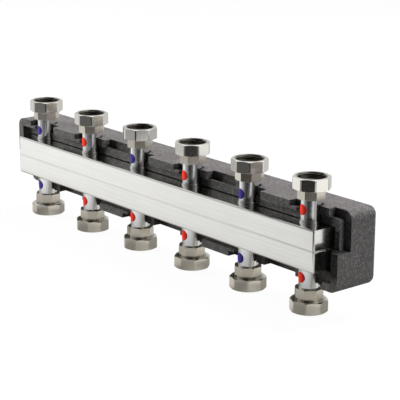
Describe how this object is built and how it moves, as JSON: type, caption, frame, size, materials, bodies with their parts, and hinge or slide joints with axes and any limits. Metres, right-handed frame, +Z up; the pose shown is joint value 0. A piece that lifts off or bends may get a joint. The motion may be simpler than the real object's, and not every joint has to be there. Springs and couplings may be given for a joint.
{
  "type": "heating manifold",
  "caption": "Straight two-chamber header in the rear half of a foam shell, with rows of union-nut branches pointing up and down.",
  "frame": {"origin": "middle of the shell's flat back face, at the height of the seam between the two chambers", "axes": "+X along the header to the right as seen from the front, +Y towards the wall behind, +Z up"},
  "size_m": [0.754, 0.0933, 0.1897],
  "materials": {
    "tray_steel": "brushed stainless steel",
    "tube_steel": "polished stainless tube",
    "nut_nickel": "nickel-plated brass, machined",
    "adapter_nickel": "nickel-plated brass, satin",
    "spring_steel": "plain spring steel",
    "foam": "moulded expanded polypropylene beads",
    "supply_red": "printed sticker",
    "return_blue": "printed sticker"
  },
  "bodies": {
    "manifold": {"divider_plate": "tray_steel", "insulation_rear": "foam", "lower_adapter_1": "adapter_nickel", "lower_adapter_2": "adapter_nickel", "lower_adapter_3": "adapter_nickel", "lower_adapter_4": "adapter_nickel", "lower_adapter_5": "adapter_nickel", "lower_adapter_6": "adapter_nickel", "lower_chamber": "tray_steel", "lower_stub_1": "tube_steel", "lower_stub_2": "tube_steel", "lower_stub_3": "tube_steel", "lower_stub_4": "tube_steel", "lower_stub_5": "tube_steel", "lower_stub_6": "tube_steel", "retaining_rings": "spring_steel", "return_markers": "return_blue", "supply_markers": "supply_red", "upper_adapter_1": "adapter_nickel", "upper_adapter_2": "adapter_nickel", "upper_adapter_3": "adapter_nickel", "upper_adapter_4": "adapter_nickel", "upper_adapter_5": "adapter_nickel", "upper_adapter_6": "adapter_nickel", "upper_chamber": "tray_steel", "upper_stub_1": "tube_steel", "upper_stub_2": "tube_steel", "upper_stub_3": "tube_steel", "upper_stub_4": "tube_steel", "upper_stub_5": "tube_steel", "upper_stub_6": "tube_steel"},
    "lower_nut_1_body": {"lower_nut_1": "nut_nickel"},
    "lower_nut_2_body": {"lower_nut_2": "nut_nickel"},
    "lower_nut_3_body": {"lower_nut_3": "nut_nickel"},
    "lower_nut_4_body": {"lower_nut_4": "nut_nickel"},
    "lower_nut_5_body": {"lower_nut_5": "nut_nickel"},
    "lower_nut_6_body": {"lower_nut_6": "nut_nickel"},
    "upper_nut_1_body": {"upper_nut_1": "nut_nickel"},
    "upper_nut_2_body": {"upper_nut_2": "nut_nickel"},
    "upper_nut_3_body": {"upper_nut_3": "nut_nickel"},
    "upper_nut_4_body": {"upper_nut_4": "nut_nickel"},
    "upper_nut_5_body": {"upper_nut_5": "nut_nickel"},
    "upper_nut_6_body": {"upper_nut_6": "nut_nickel"}
  },
  "joints": [
    {"name": "upper_nut_1_swivel", "type": "hinge", "parent": "manifold", "child": "upper_nut_1_body", "pos_m": [-0.3125, -0.063, 0.0847], "axis": [0, 0, 1], "continuous": true},
    {"name": "upper_nut_2_swivel", "type": "hinge", "parent": "manifold", "child": "upper_nut_2_body", "pos_m": [-0.1875, -0.063, 0.0847], "axis": [0, 0, 1], "continuous": true},
    {"name": "upper_nut_3_swivel", "type": "hinge", "parent": "manifold", "child": "upper_nut_3_body", "pos_m": [-0.0625, -0.063, 0.0847], "axis": [0, 0, 1], "continuous": true},
    {"name": "upper_nut_4_swivel", "type": "hinge", "parent": "manifold", "child": "upper_nut_4_body", "pos_m": [0.0625, -0.063, 0.0847], "axis": [0, 0, 1], "continuous": true},
    {"name": "upper_nut_5_swivel", "type": "hinge", "parent": "manifold", "child": "upper_nut_5_body", "pos_m": [0.1875, -0.063, 0.0847], "axis": [0, 0, 1], "continuous": true},
    {"name": "upper_nut_6_swivel", "type": "hinge", "parent": "manifold", "child": "upper_nut_6_body", "pos_m": [0.3125, -0.063, 0.0847], "axis": [0, 0, 1], "continuous": true},
    {"name": "lower_nut_1_swivel", "type": "hinge", "parent": "manifold", "child": "lower_nut_1_body", "pos_m": [-0.3125, -0.063, -0.0878], "axis": [0, 0, 1], "continuous": true},
    {"name": "lower_nut_2_swivel", "type": "hinge", "parent": "manifold", "child": "lower_nut_2_body", "pos_m": [-0.1875, -0.063, -0.0878], "axis": [0, 0, 1], "continuous": true},
    {"name": "lower_nut_3_swivel", "type": "hinge", "parent": "manifold", "child": "lower_nut_3_body", "pos_m": [-0.0625, -0.063, -0.0878], "axis": [0, 0, 1], "continuous": true},
    {"name": "lower_nut_4_swivel", "type": "hinge", "parent": "manifold", "child": "lower_nut_4_body", "pos_m": [0.0625, -0.063, -0.0878], "axis": [0, 0, 1], "continuous": true},
    {"name": "lower_nut_5_swivel", "type": "hinge", "parent": "manifold", "child": "lower_nut_5_body", "pos_m": [0.1875, -0.063, -0.0878], "axis": [0, 0, 1], "continuous": true},
    {"name": "lower_nut_6_swivel", "type": "hinge", "parent": "manifold", "child": "lower_nut_6_body", "pos_m": [0.3125, -0.063, -0.0878], "axis": [0, 0, 1], "continuous": true}
  ]
}
